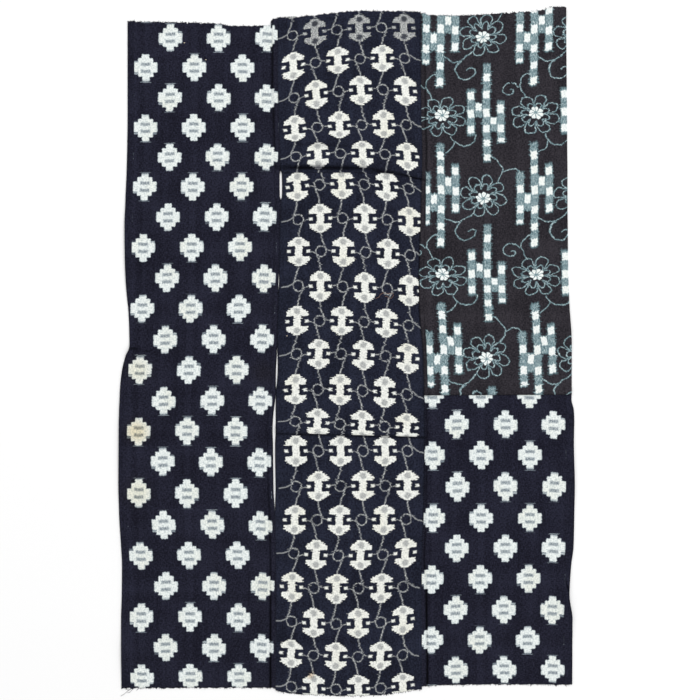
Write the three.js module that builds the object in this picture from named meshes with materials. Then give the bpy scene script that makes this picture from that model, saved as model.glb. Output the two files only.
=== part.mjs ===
// A kasuri futon cover, opened out and laid flat with its right side up.
//
// It is three narrow loom widths of indigo cotton, sewn side by side along their long edges.
// The left width is one cut length. The middle width is pieced from three lengths and the right
// width from two, joined by cross seams. Every long edge is turned under by a narrow hem. At a
// cross seam the upper length laps over the lower one. The left long seam has come undone in
// places, so slits stay open between the left and the middle width.
//
// Millimetres. +X runs across the widths to the right, +Y along them to the top edge, +Z up.
// The origin is at the middle of the cover's outline, on the surface that it lies on.

import * as THREE from 'three';
import { mergeVertices } from 'three/addons/utils/BufferGeometryUtils.js';

const { clamp, degToRad, lerp } = THREE.MathUtils;

// Driving dimensions
const CLOTH = 1.0; // thickness of one layer
const AIR = 0.35; // space between two layers that lie on each other
const LAYER = CLOTH + AIR; // rise from one layer to the next
const HEM = 12; // width of cloth turned under at a long edge
const HEM_FOOT = HEM + 6; // from a long edge to where the cloth beside its hem reaches the surface
const SEAM_GAP = 0.6; // space between two widths where their seam is closed
const LAP = 12; // how far a cross seam's upper length covers the lower one
const LAP_SLOPE = 8; // distance in which the upper length comes down beyond the lap
const ROW_PITCH = 40; // most that two rows of points lie apart along the cloth
const FLAT_MARGIN = 48; // from a long edge to where the evenly spaced columns begin
const FLAT_COLUMNS = 5; // how many of those columns there are

// The cover's long lines from the top edge down. left and right are the outer edges, seamLeft and
// seamRight the middles of the long seams, and slit is how wide the left seam has come open.
const SECTIONS = [
  { y: 740, left: -466, seamLeft: -147, slit: 0, seamRight: 157, right: 467 },
  { y: 600, left: -466, seamLeft: -147, slit: 0, seamRight: 158, right: 468 },
  { y: 500, left: -466, seamLeft: -144.5, slit: 0, seamRight: 159, right: 469 },
  { y: 425, left: -467, seamLeft: -142, slit: 0, seamRight: 161, right: 469.5 },
  { y: 350, left: -469.5, seamLeft: -140, slit: 6, seamRight: 159.5, right: 470 },
  { y: 325, left: -470.5, seamLeft: -140, slit: 0, seamRight: 158.5, right: 470 },
  { y: 269, left: -472.5, seamLeft: -142, slit: 0, seamRight: 157, right: 470.5 },
  { y: 205, left: -472, seamLeft: -143.5, slit: 0, seamRight: 155, right: 471 },
  { y: 148, left: -470, seamLeft: -144.5, slit: 2.4, seamRight: 153.5, right: 472 },
  { y: 90, left: -464.5, seamLeft: -146, slit: 0, seamRight: 154.5, right: 474.5 },
  { y: 43, left: -462.5, seamLeft: -147.5, slit: 0, seamRight: 158.5, right: 478 },
  { y: 7, left: -462, seamLeft: -148, slit: 0.8, seamRight: 162, right: 479 },
  { y: -8, left: -469.5, seamLeft: -148, slit: 2, seamRight: 163, right: 479 },
  { y: -38, left: -477.5, seamLeft: -148.5, slit: 4, seamRight: 163.5, right: 479 },
  { y: -65, left: -481, seamLeft: -149.5, slit: 3, seamRight: 164.5, right: 479 },
  { y: -102, left: -483, seamLeft: -151.5, slit: 1, seamRight: 165.5, right: 478.5 },
  { y: -125, left: -484, seamLeft: -153, slit: 4.5, seamRight: 166, right: 483.5 },
  { y: -148, left: -484.5, seamLeft: -154, slit: 8, seamRight: 166.5, right: 484.5 },
  { y: -200, left: -485, seamLeft: -154.5, slit: 8, seamRight: 166, right: 483.5 },
  { y: -289, left: -485.5, seamLeft: -153.5, slit: 5, seamRight: 165, right: 485.5 },
  { y: -350, left: -484, seamLeft: -152.5, slit: 0, seamRight: 164, right: 484.5 },
  { y: -415, left: -480, seamLeft: -151.5, slit: 0, seamRight: 161.5, right: 483 },
  { y: -455, left: -478, seamLeft: -151, slit: 0, seamRight: 160, right: 478 },
  { y: -519, left: -478.5, seamLeft: -151, slit: 0, seamRight: 160, right: 474 },
  { y: -570, left: -480, seamLeft: -151, slit: 0, seamRight: 160, right: 480.5 },
  { y: -740, left: -479, seamLeft: -151, slit: 0, seamRight: 160, right: 480 },
];

// The raw cut ends and the cross seams, each as a short line of points from left to right
const LEFT_TOP = [
  { x: -466, y: 703 },
  { x: -336, y: 700 },
  { x: -264, y: 697 },
  { x: -252, y: 693 },
  { x: -163, y: 694 },
  { x: -160, y: 706 },
  { x: -147, y: 710 },
];
const LEFT_BOTTOM = [
  { x: -480, y: -717 },
  { x: -163, y: -716 },
  { x: -151, y: -718 },
];
const MIDDLE_TOP = [
  { x: -147, y: 711 },
  { x: -86, y: 714 },
  { x: -37, y: 719.5 },
  { x: 24, y: 725 },
  { x: 122, y: 724.5 },
  { x: 157, y: 722.5 },
];
const MIDDLE_BOTTOM = [
  { x: -151, y: -721 },
  { x: -127, y: -727 },
  { x: -80, y: -731 },
  { x: 4, y: -733.5 },
  { x: 61, y: -732 },
  { x: 112, y: -726.5 },
  { x: 160, y: -718 },
];
const RIGHT_TOP = [
  { x: 157, y: 722 },
  { x: 175, y: 716.5 },
  { x: 234, y: 715.5 },
  { x: 331, y: 720 },
  { x: 417, y: 727 },
  { x: 439, y: 733.5 },
  { x: 467, y: 733.5 },
];
const RIGHT_BOTTOM = [
  { x: 160, y: -713 },
  { x: 187, y: -711 },
  { x: 316, y: -709 },
  { x: 479, y: -709.5 },
];
const UPPER_MIDDLE_SEAM = [
  { x: -140, y: 389 },
  { x: 108, y: 384 },
  { x: 134, y: 372 },
  { x: 160, y: 366 },
];
const LOWER_MIDDLE_SEAM = [
  { x: -152, y: -173 },
  { x: 166, y: -182 },
];
const RIGHT_SEAM = [
  { x: 165, y: -93.5 },
  { x: 479, y: -92 },
];

// Soft folds that lift the cloth off the surface: a ridge at x, y that runs for length at angle
// degrees from +X, and is width across from foot to foot. Elsewhere the cloth lies flat.
const FOLDS = [
  { x: -60, y: 407, length: 330, width: 44, height: 6, angle: -1 },
  { x: -115, y: 560, length: 150, width: 80, height: 4, angle: 4 },
  { x: -50, y: 275, length: 190, width: 90, height: 3, angle: -8 },
  { x: -466, y: 0, length: 150, width: 38, height: 5, angle: 6 },
  { x: -476, y: -200, length: 340, width: 60, height: 3, angle: 90 },
  { x: -470, y: 230, length: 260, width: 60, height: 2.5, angle: 90 },
  { x: -478, y: -640, length: 150, width: 70, height: 2.5, angle: 90 },
  { x: 476, y: -540, length: 190, width: 56, height: 5, angle: 84 },
  { x: 478, y: -250, length: 240, width: 60, height: 3, angle: 90 },
  { x: 472, y: 40, length: 220, width: 60, height: 2.5, angle: 90 },
  { x: -128, y: -540, length: 110, width: 40, height: 3.5, angle: -50 },
  { x: 150, y: -600, length: 200, width: 50, height: 2.5, angle: 88 },
  { x: 455, y: 722, length: 110, width: 60, height: 4, angle: -12 },
];

// One column of a table at a given place, on straight lines between its rows
function readTable(table, key, at, column) {
  const direction = Math.sign(table[1][key] - table[0][key]);
  let i = 0;
  while (i < table.length - 2 && (at - table[i + 1][key]) * direction > 0) i += 1;
  const share = (at - table[i][key]) / (table[i + 1][key] - table[i][key]);
  return lerp(table[i][column], table[i + 1][column], clamp(share, 0, 1));
}

const longLine = (name) => (y) => readTable(SECTIONS, 'y', y, name);
const slitHalf = (y) => Math.max(SEAM_GAP, longLine('slit')(y)) / 2;

// A cut end or a cross seam as a function of x, with the lowest and highest y that it reaches
function endLine(points, raise = 0) {
  const heights = points.map((point) => point.y + raise);
  return {
    at: (x) => readTable(points, 'x', x, 'y') + raise,
    lowest: Math.min(...heights),
    highest: Math.max(...heights),
  };
}

// Height of the soft folds at a point of the surface
function foldHeight(x, y) {
  const swell = (share) => 0.5 + 0.5 * Math.cos(Math.PI * Math.min(share, 1));
  const heights = FOLDS.map((fold) => {
    const turn = degToRad(fold.angle);
    const dx = x - fold.x;
    const dy = y - fold.y;
    const along = Math.abs(dx * Math.cos(turn) + dy * Math.sin(turn)) / (fold.length / 2);
    const across = Math.abs(dy * Math.cos(turn) - dx * Math.sin(turn)) / (fold.width / 2);
    return fold.height * swell(along) * swell(across);
  });
  return Math.max(...heights);
}

// The columns of a hem from its inner end out to the edge and back onto the surface. inset is the
// distance from the edge, layer the height in layers, and nx, nz the way the right side faces.
const FOLD_BACK = LAYER / 2 + CLOTH / 2; // from the edge to where the turned cloth lies flat
const TURNED_EDGE = [
  { inset: HEM, layer: 0, nx: 0, nz: -1 },
  { inset: FOLD_BACK, layer: 0, nx: 0, nz: -1 },
  { inset: CLOTH / 2, layer: 0.5, nx: -1, nz: 0 },
  { inset: FOLD_BACK, layer: 1, nx: 0, nz: 1 },
  { inset: HEM, layer: 1, nx: 0, nz: 1 },
];
const PLAIN_HEM = [...TURNED_EDGE, { inset: HEM_FOOT, layer: 0, nx: 0, nz: 1 }];

// A hem with a pressed crease beside it and a soft rise beyond the crease
const CREASED_HEM = [
  ...TURNED_EDGE,
  { inset: HEM + 3, layer: 0, nx: 0, nz: 1 },
  { inset: HEM + 11, layer: 0.9, nx: 0, nz: 1 },
  { inset: HEM + 29, layer: 0, nx: 0, nz: 1 },
];

// Rows that every width shares, so that neighbouring edges follow each other: those of the
// sections and, where two of them lie far apart, more rows between
const SHARED_ROWS = SECTIONS.slice(1).flatMap((lower, i) => {
  const upper = SECTIONS[i];
  const steps = Math.ceil((upper.y - lower.y) / ROW_PITCH);
  return Array.from({ length: steps }, (_, step) => lerp(upper.y, lower.y, step / steps));
});
SHARED_ROWS.reverse();

// The rows of a length from its lower to its upper end, as functions of x
function rowLines({ bottom, top, lapsOver, tongue }) {
  const clear = 6; // a shared row nearer than this to a row of an end is left out
  const fromBottom = lapsOver ? [0, LAP, LAP + LAP_SLOPE] : [0];
  const fromTop = tongue ? [AIR - LAP, 0] : [0];
  const lowest = bottom.highest + fromBottom.at(-1) + clear;
  const highest = top.lowest + fromTop[0] - clear;
  const between = SHARED_ROWS.filter((y) => y > lowest && y < highest);
  return [
    ...fromBottom.map((rise) => (x) => bottom.at(x) + rise),
    ...between.map((y) => () => y),
    ...fromTop.map((rise) => (x) => top.at(x) + rise),
  ];
}

// The columns of a width from its left to its right edge, each with its place x as a function of y
function columnLines({ leftEdge, rightEdge, leftHem, rightHem }) {
  const fromLeft = leftHem.map((station) => ({
    ...station,
    x: (y) => leftEdge(y) + station.inset,
  }));
  const fromRight = rightHem.map((station) => ({
    ...station,
    nx: -station.nx,
    x: (y) => rightEdge(y) - station.inset,
  }));
  const flat = Array.from({ length: FLAT_COLUMNS }, (_, i) => ({
    inset: FLAT_MARGIN,
    layer: 0,
    nx: 0,
    nz: 1,
    x: (y) => lerp(leftEdge(y) + FLAT_MARGIN, rightEdge(y) - FLAT_MARGIN, i / (FLAT_COLUMNS - 1)),
  }));
  return [...fromLeft, ...flat, ...fromRight.reverse()];
}

// A box that is divided into columns and rows and bent into a sheet of cloth. Its top becomes the
// right side of the cloth and its bottom the wrong side, so the sheet is one closed solid.
function bendCloth(columns, rows, place) {
  const box = new THREE.BoxGeometry(1, 1, 1, columns, rows, 1);
  box.deleteAttribute('normal');
  box.deleteAttribute('uv');
  const cloth = mergeVertices(box);
  const points = cloth.attributes.position;
  for (let i = 0; i < points.count; i += 1) {
    const column = Math.round((points.getX(i) + 0.5) * columns);
    const row = Math.round((points.getY(i) + 0.5) * rows);
    const side = Math.sign(points.getZ(i));
    points.setXYZ(i, ...place(column, row, side));
  }

  // Each square of the bottom is split along the same diagonal as the square above it
  const bottom = cloth.groups.at(-1);
  for (let i = bottom.start; i < bottom.start + bottom.count; i += 6) {
    const [a, b, d, , c] = cloth.index.array.slice(i, i + 6);
    cloth.index.array.set([a, b, c, a, c, d], i);
  }
  cloth.clearGroups();
  cloth.computeVertexNormals();
  return cloth;
}

// One cut length of cloth
function clothLength(name, colour, cut) {
  const columns = columnLines(cut);
  const rows = rowLines(cut);
  const middle = (cut.leftEdge(0) + cut.rightEdge(0)) / 2;

  const place = (column, row, side) => {
    const { x: lineX, inset, layer, nx, nz } = columns[column];
    const y = rows[row](lineX(rows[row](middle)));
    const x = lineX(y);
    const onHem = 1 - clamp((inset - HEM) / (HEM_FOOT - HEM), 0, 1);
    const lapLayers = cut.lapsOver && row < 2 ? 1 + onHem : 0;
    const z = CLOTH / 2 + (layer + lapLayers) * LAYER + foldHeight(x, y);
    return [x + (side * nx * CLOTH) / 2, y, z + (side * nz * CLOTH) / 2];
  };

  const mesh = new THREE.Mesh(
    bendCloth(columns.length - 1, rows.length - 1, place),
    new THREE.MeshStandardMaterial({ color: colour, roughness: 0.95, metalness: 0 }),
  );
  mesh.name = name;
  return mesh;
}

// The three widths
const seamLeft = longLine('seamLeft');
const seamRight = longLine('seamRight');
const LEFT_WIDTH = {
  leftEdge: longLine('left'),
  rightEdge: (y) => seamLeft(y) - slitHalf(y),
  leftHem: PLAIN_HEM,
  rightHem: CREASED_HEM,
};
const MIDDLE_WIDTH = {
  leftEdge: (y) => seamLeft(y) + slitHalf(y),
  rightEdge: (y) => seamRight(y) - SEAM_GAP / 2,
  leftHem: PLAIN_HEM,
  rightHem: PLAIN_HEM,
};
const RIGHT_WIDTH = {
  leftEdge: (y) => seamRight(y) + SEAM_GAP / 2,
  rightEdge: longLine('right'),
  leftHem: CREASED_HEM,
  rightHem: PLAIN_HEM,
};

// The ground colours of the cloths
const INDIGO = 0x1d1f33;
const NAVY = 0x171d31;
const BROWN_BLACK = 0x29221f;

// The six lengths. A length with a tongue reaches under the one above it by the lap.
const TONGUE = LAP - AIR;
const cover = new THREE.Group();
cover.add(
  clothLength('left_length', INDIGO, {
    ...LEFT_WIDTH,
    top: endLine(LEFT_TOP),
    bottom: endLine(LEFT_BOTTOM),
  }),
  clothLength('middle_upper_length', NAVY, {
    ...MIDDLE_WIDTH,
    top: endLine(MIDDLE_TOP),
    bottom: endLine(UPPER_MIDDLE_SEAM),
    lapsOver: true,
  }),
  clothLength('middle_centre_length', NAVY, {
    ...MIDDLE_WIDTH,
    top: endLine(UPPER_MIDDLE_SEAM, TONGUE),
    bottom: endLine(LOWER_MIDDLE_SEAM),
    lapsOver: true,
    tongue: true,
  }),
  clothLength('middle_lower_length', NAVY, {
    ...MIDDLE_WIDTH,
    top: endLine(LOWER_MIDDLE_SEAM, TONGUE),
    bottom: endLine(MIDDLE_BOTTOM),
    tongue: true,
  }),
  clothLength('right_upper_length', BROWN_BLACK, {
    ...RIGHT_WIDTH,
    top: endLine(RIGHT_TOP),
    bottom: endLine(RIGHT_SEAM),
    lapsOver: true,
  }),
  clothLength('right_lower_length', INDIGO, {
    ...RIGHT_WIDTH,
    top: endLine(RIGHT_SEAM, TONGUE),
    bottom: endLine(RIGHT_BOTTOM),
    tongue: true,
  }),
);

export default cover;
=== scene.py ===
# %% [markdown]
# # A kasuri futon cover, opened out and laid flat
#
# The cover is three narrow loom widths of indigo cotton, sewn side by side. The middle width is
# pieced from three lengths and the right one from two, so there are six lengths of three cloths.
# Their patterns are kasuri, which means that parts of the yarns were bound off before dyeing:
# where an undyed warp crosses an undyed weft the cloth is white, where only one of the two is
# undyed it is half-tone, and elsewhere it has the colour of the dye bath.
#
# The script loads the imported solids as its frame, lays a fine sheet on the folds of each of them,
# and builds the patterns as node materials. Sizes are in millimetres and are scaled once, where a
# mesh gets its points.

# %% Load the frame
import math
import random

import bmesh
import bpy
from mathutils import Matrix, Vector, noise


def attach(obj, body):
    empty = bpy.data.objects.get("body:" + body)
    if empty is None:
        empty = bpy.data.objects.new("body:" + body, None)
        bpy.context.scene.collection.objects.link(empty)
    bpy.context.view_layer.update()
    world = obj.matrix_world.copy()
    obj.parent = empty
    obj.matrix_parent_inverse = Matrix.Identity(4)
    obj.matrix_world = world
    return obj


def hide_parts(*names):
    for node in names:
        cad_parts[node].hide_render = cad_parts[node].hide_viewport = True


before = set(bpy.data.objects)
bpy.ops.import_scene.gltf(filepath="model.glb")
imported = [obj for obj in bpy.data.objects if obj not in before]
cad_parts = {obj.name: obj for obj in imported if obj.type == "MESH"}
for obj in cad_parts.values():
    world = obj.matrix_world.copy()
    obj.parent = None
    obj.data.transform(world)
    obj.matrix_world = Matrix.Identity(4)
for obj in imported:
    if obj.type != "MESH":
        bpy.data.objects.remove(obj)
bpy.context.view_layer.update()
MM = 0.001
print("nodes:", sorted(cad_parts))

# %% [markdown]
# ## Camera
# The photo looks straight down on the cover. A long lens from high up does that with hardly any
# perspective. An orthographic camera would do too, but a lens keeps the other views natural.

# %% Camera straight above
PICTURE_WIDTH = 1491.0  # the stretch of floor that the picture spans
PICTURE_MIDDLE = (7.2, 3.1)
LENS, SENSOR = 100.0, 36.0

camera_data = bpy.data.cameras.new("camera")
camera_data.lens = LENS
camera_data.sensor_width = SENSOR
camera = bpy.data.objects.new("camera", camera_data)
camera_height = PICTURE_WIDTH * LENS / SENSOR
camera.location = Vector((*PICTURE_MIDDLE, camera_height)) * MM
bpy.context.collection.objects.link(camera)
bpy.context.scene.camera = camera
print(f"camera {camera_height:.0f} mm above the floor")

# %% [markdown]
# ## The outline and the folds of the cover
# The tables say where the real cover's edges, seams and soft folds lie. The solids have the same
# driving sizes, but for the upper cross seam of the middle width, which lies up to 9 mm lower
# here. A smooth curve runs through their rows, because cloth has no corners where a table has one.

# %% Long lines of the cover
SECTIONS = [
    # y, left edge, left seam, width of the slit in it, right seam, right edge
    (740, -466, -147, 0, 157, 467),
    (600, -466, -147, 0, 158, 468),
    (500, -466, -144.5, 0, 159, 469),
    (425, -467, -142, 0, 161, 469.5),
    (386, -468, -140.5, 0, 160.5, 470),
    (380, -468.2, -140.4, 5, 160.3, 470),
    (350, -469.5, -140, 6, 159.5, 470),
    (328, -470.5, -140, 5, 158.5, 470),
    (322, -470.6, -140, 0, 158.5, 470),
    (269, -472.5, -142, 0, 157, 470.5),
    (205, -472, -143.5, 0, 155, 471),
    (184, -471.5, -144, 0, 154.5, 471.3),
    (148, -470, -144.5, 2.4, 153.5, 472),
    (112, -467, -145.4, 0, 154, 473.5),
    (90, -464.5, -146, 0, 154.5, 474.5),
    (43, -462.5, -147.5, 0, 158.5, 478),
    (14, -462, -148, 0, 161.5, 479),
    (5, -463, -148, 1.6, 162.2, 479),
    (-8, -469.5, -148, 2.4, 163, 479),
    (-38, -477.5, -148.5, 4.4, 163.5, 479),
    (-65, -481, -149.5, 3.4, 164.5, 479),
    (-86, -482.5, -150.5, 0.6, 165, 479),
    (-102, -483, -151.5, 2, 165.5, 478.5),
    (-125, -484, -153, 4.6, 166, 483.5),
    (-148, -484.5, -154, 6.6, 166.5, 484.5),
    (-170, -484.8, -154.4, 7.2, 166.3, 484),
    (-200, -485, -154.5, 5, 166, 483.5),
    (-289, -485.5, -153.5, 5, 165, 485.5),
    (-335, -484.4, -152.8, 1.4, 164.2, 484.7),
    (-350, -484, -152.5, 0, 164, 484.5),
    (-415, -480, -151.5, 0, 161.5, 483),
    (-455, -478, -151, 0, 160, 478),
    (-519, -478.5, -151, 0, 160, 474),
    (-570, -480, -151, 0, 160, 480.5),
    (-740, -479, -151, 0, 160, 480),
]
LEFT_EDGE, LEFT_SEAM, SLIT, RIGHT_SEAM, RIGHT_EDGE = range(1, 6)


def smooth_through(rows, column, at):
    """A table's column at a given place, on a smooth curve that never overshoots its rows."""
    if rows[0][0] > rows[-1][0]:
        rows = rows[::-1]
    at = min(max(at, rows[0][0]), rows[-1][0])
    i = 0
    while i < len(rows) - 2 and at > rows[i + 1][0]:
        i += 1

    def slope(k):
        first, last = max(k - 1, 0), min(k + 1, len(rows) - 1)
        before = (rows[first + 1][column] - rows[first][column]) / (rows[first + 1][0] - rows[first][0])
        after = (rows[last][column] - rows[last - 1][column]) / (rows[last][0] - rows[last - 1][0])
        return 0.0 if before * after <= 0 else 2 * before * after / (before + after)

    span = rows[i + 1][0] - rows[i][0]
    t = (at - rows[i][0]) / span
    return (
        rows[i][column] * (1 + 2 * t) * (1 - t) ** 2
        + slope(i) * span * t * (1 - t) ** 2
        + rows[i + 1][column] * t * t * (3 - 2 * t)
        + slope(i + 1) * span * t * t * (t - 1)
    )


def half_slit(y):
    """Half the width of the open seam, and a hair less than none where the seam is closed."""
    closed = -0.05
    return max(smooth_through(SECTIONS, SLIT, y) / 2, closed)


left_width = smooth_through(SECTIONS, LEFT_SEAM, 0) - smooth_through(SECTIONS, LEFT_EDGE, 0)
print("left width at the middle:", round(left_width), "mm")

# %% Raw ends and cross seams, as points from left to right
LEFT_TOP = [(-466, 703), (-336, 700), (-264, 697), (-252, 693), (-163, 694), (-160, 706), (-147, 710)]
LEFT_BOTTOM = [(-480, -717), (-163, -716), (-151, -718)]
MIDDLE_TOP = [(-147, 711), (-86, 714), (-37, 719.5), (24, 725), (122, 724.5), (157, 722.5)]
MIDDLE_BOTTOM = [
    (-151, -721), (-127, -727), (-80, -731), (4, -733.5), (61, -732), (112, -726.5), (160, -718),
]
RIGHT_TOP = [
    (157, 722), (175, 716.5), (234, 715.5), (331, 720), (417, 727), (439, 733.5), (467, 733.5),
]
RIGHT_BOTTOM = [(160, -713), (187, -711), (316, -709), (479, -709.5)]
UPPER_MIDDLE_SEAM = [(-140, 381), (60, 380.5), (108, 377.5), (134, 372), (160, 366)]
LOWER_MIDDLE_SEAM = [(-152, -173), (166, -182)]
RIGHT_CROSS_SEAM = [(165, -93.5), (479, -92)]


def end_line(points, raised=0.0):
    """A cut end or a cross seam as a function of x."""
    return lambda x: smooth_through(points, 1, x) + raised


# %% Soft folds
FOLDS = [
    # x, y, length, width, height, angle in degrees from +X
    (-60, 407, 330, 44, 6, -1),
    (-115, 560, 150, 80, 4, 4),
    (-50, 275, 190, 90, 3, -8),
    (-466, 0, 150, 38, 5, 6),
    (-476, -200, 340, 60, 3, 90),
    (-470, 230, 260, 60, 2.5, 90),
    (-478, -640, 150, 70, 2.5, 90),
    (476, -540, 190, 56, 5, 84),
    (478, -250, 240, 60, 3, 90),
    (472, 40, 220, 60, 2.5, 90),
    (-128, -540, 110, 40, 3.5, -50),
    (150, -600, 200, 50, 2.5, 88),
    (455, 722, 110, 60, 4, -12),
]


def swell(share):
    """A soft rise: 1 at the crest, 0 at the foot and beyond."""
    return 0.5 + 0.5 * math.cos(math.pi * min(abs(share), 1.0))


def fold_height(x, y):
    """Height of the soft folds at a point of the surface."""
    highest = 0.0
    for fold_x, fold_y, length, width, height, angle in FOLDS:
        turn = math.radians(angle)
        dx, dy = x - fold_x, y - fold_y
        along = (dx * math.cos(turn) + dy * math.sin(turn)) / (length / 2)
        across = (dy * math.cos(turn) - dx * math.sin(turn)) / (width / 2)
        if abs(along) < 1 and abs(across) < 1:
            highest = max(highest, height * swell(along) * swell(across))
    return highest


print(len(FOLDS), "folds, the highest", max(row[4] for row in FOLDS), "mm")

# %% [markdown]
# ## Creases
# Beside both long seams a pressed crease runs in the cloth, where the seam allowance ends under
# it, and short creases cross the hem and the seams. They could be left to shading, but a real
# trough catches the light from every side. So each is a narrow trough in the mesh, and a painted
# shade for it is also kept as an attribute, from which the material darkens the colour where little
# light gets in.

# %% Creases as troughs from one point to another
CREASES = [
    # x and y of one end, x and y of the other, width, depth, shade
    (-472, 7, -436, 3, 9, 1.6, 0.9),
    (-436, 3, -395, -3, 8, 0.6, 0.5),
    (-146, 25, -100, 29, 7, 0.5, 0.5),
    (-142, 392, 50, 390, 19, 0.8, 1.0),
    (40, 389, 112, 379, 12, 0.5, 0.95),
    (106, 378, 172, 364, 8, 0.6, 1.0),
    (466, -486, 475, -520, 6, 1.6, 0.9),
    (475, -520, 479, -555, 6, 1.6, 0.9),
    (-136, 444, 20, 436, 12, 0.5, 0.3),
    (-150, -176, 166, -184, 6, 0.1, 0.7),
    (165, -94.5, 479, -93, 3, 0.1, 0.9),
]


def crease_at(x, y):
    """Depth and shade of the deepest crease at a point."""
    deepest, darkest = 0.0, 0.0
    for ax, ay, bx, by, width, depth, shade in CREASES:
        length = math.hypot(bx - ax, by - ay)
        along = ((x - ax) * (bx - ax) + (y - ay) * (by - ay)) / length
        across = abs((x - ax) * (by - ay) - (y - ay) * (bx - ax)) / length
        if -width < along < length + width and across < width / 2:
            fade = min(max(0.5 + min(along, length - along) / (4 * width), 0.0), 1.0)
            strength = fade * swell(across / (width / 2))
            deepest = max(deepest, depth * strength)
            darkest = max(darkest, shade * strength)
    return deepest, darkest


# %% [markdown]
# ## The weave as a coordinate
# A pattern that is woven in follows the yarns, not the floor. So each length gets a UV map in
# metres of cloth: U runs from its grain line across the warp, V runs with the warp. The grain
# tables say where a row of motifs lies, so the pattern bows, tilts and bunches as the cloth does.

# %% Grain tables
# y of a row of motifs, x of the grain line there, number of the row from the top, tilt of the row,
# and its bow, which is how much higher it lies 100 mm to either side of the grain line
GRAIN_X, GRAIN_ROW, GRAIN_TILT, GRAIN_BOW = range(1, 5)
LOZENGE_GRAIN_LEFT = [
    (667.6, -324.2, 0, 0, 0), (539.8, -324.4, 2, 0, 0), (350.3, -327.2, 5, 0, 0),
    (156.4, -330.8, 8, 0, 0), (-39.5, -336.5, 11, 0, 0), (-235.5, -340.4, 14, 0, 0),
    (-369.7, -337.8, 16, 0, 0), (-499.6, -333.1, 18, 0, 0), (-631.7, -334.6, 20, 0, 0),
    (-693.4, -332.3, 21, 0, 0),
]
LOZENGE_GRAIN_RIGHT = [
    (-90.6, 285.8, 1, 0, 0), (-156, 286.4, 2, 0, 0), (-220.6, 287.1, 3, 0, 0),
    (-355.8, 286.9, 5, 0, 0), (-418.7, 286.7, 6, 0, 0), (-484.7, 284.8, 7, 0, 0),
    (-614.6, 282.7, 9, 0, 0), (-677.4, 284.6, 10, 0, 0),
]
SPOOL_GRAIN_UPPER = [
    (686.8, 3, 1, 0.073, -4.3), (621.7, 5.1, 2, 0.065, -3.6), (556.3, 6.2, 3, 0.07, -6.5),
    (481, 8.3, 4, 0.04, -2.5), (422.3, 10.4, 5, 0.007, -4.6), (348, 12.5, 6, 0, -4.6),
]
SPOOL_GRAIN_CENTRE = [
    (356.3, 13.8, 6, -0.024, -5.4), (283.6, 14.9, 7, -0.016, -3.4), (212.1, 16.6, 8, -0.037, -1.9),
    (136.9, 15.3, 9, -0.04, -1.5), (63.8, 13.4, 10, -0.039, -2.8), (-5.7, 11.9, 11, -0.036, -2.7),
    (-82.8, 9.8, 12, -0.041, -2.9), (-155.8, 9.4, 13, -0.06, 0.5),
]
SPOOL_GRAIN_LOWER = [
    (-211.8, 11.3, 14, 0, 0), (-286.6, 11.3, 15, 0.01, 0), (-358.5, 7.9, 16, 0.005, 0.5),
    (-435.1, 6.4, 17, 0.005, 3.9), (-504.5, 2.1, 18, 0, 2.4), (-580.4, 1.3, 19, 0.015, 5.2),
    (-649.9, 0.6, 20, -0.016, 3.6), (-719.5, 1.3, 21, 0.01, 4.5),
]
FLOWER_GRAIN = [
    (678.3, 300.2, 0, 0, 0), (507.9, 297.6, 1, 0.024, 0), (335.4, 300.8, 2, 0, 0),
    (166, 299.4, 3, 0, 0), (-5.5, 307.0, 4, 0, 0), (-190, 312.0, 5, 0, 0),
]


def steady_through(rows, column, at):
    """Like smooth_through, but the outermost slopes go on beyond the table's ends."""
    ordered = sorted(rows)
    for end, inner in ((ordered[0], ordered[1]), (ordered[-1], ordered[-2])):
        outward = end[0] - inner[0]
        if (at - end[0]) * outward > 0:
            return end[column] + (at - end[0]) * (end[column] - inner[column]) / outward
    return smooth_through(rows, column, at)


def cloth_place(grain, row_pitch, x, y):
    """Where a point of the outline lies on the woven cloth, from the grain line and the top."""
    aside = x - smooth_through(grain, GRAIN_X, y)
    tilt, bow = smooth_through(grain, GRAIN_TILT, y), smooth_through(grain, GRAIN_BOW, y)
    along = y - tilt * aside - bow * (aside / 100) ** 2
    return aside, -row_pitch * steady_through(grain, GRAIN_ROW, along)


print("rows of spools from top to bottom:", SPOOL_GRAIN_LOWER[-1][GRAIN_ROW])

# %% [markdown]
# ## Numbers that vary over the cloth
# Math nodes can draw a motif, but a few hundred of them wired one by one hide its shape. The class
# below lets a motif be written as a formula. Each operation adds one node to the material.

# %% A field of numbers, and shapes made of it
class Field:
    """A number that varies over the cloth: a node's output whose arithmetic adds nodes."""

    def __init__(self, socket):
        self.socket = socket
        self.tree = socket.id_data

    def math(self, operation, *others, clamp=False):
        node = self.tree.nodes.new("ShaderNodeMath")
        node.operation = operation
        for slot, value in zip(node.inputs, (self, *others)):
            if isinstance(value, Field):
                self.tree.links.new(value.socket, slot)
            else:
                slot.default_value = value
        result = Field(node.outputs[0])
        return result.clamped() if clamp else result

    def __add__(self, other):
        return self.math("ADD", other)

    def __sub__(self, other):
        return self.math("SUBTRACT", other)

    def __mul__(self, other):
        return self.math("MULTIPLY", other)

    def __abs__(self):
        return self.math("ABSOLUTE")

    def taken_from(self, whole):
        return self.math("MULTIPLY_ADD", -1.0, whole)

    def least(self, other):
        return self.math("MINIMUM", other)

    def most(self, other):
        return self.math("MAXIMUM", other)

    def clamped(self):
        """Kept from 0 to 1. A Math node's own clamp would make Cycles run out of room."""
        node = self.tree.nodes.new("ShaderNodeClamp")
        self.tree.links.new(self.socket, node.inputs["Value"])
        return Field(node.outputs[0])

    def repeated(self, pitch):
        return self.math("WRAP", pitch / 2, -pitch / 2)


def length_of(x, y):
    return x.math("MULTIPLY", x).math("ADD", y * y).math("SQRT")


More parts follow.
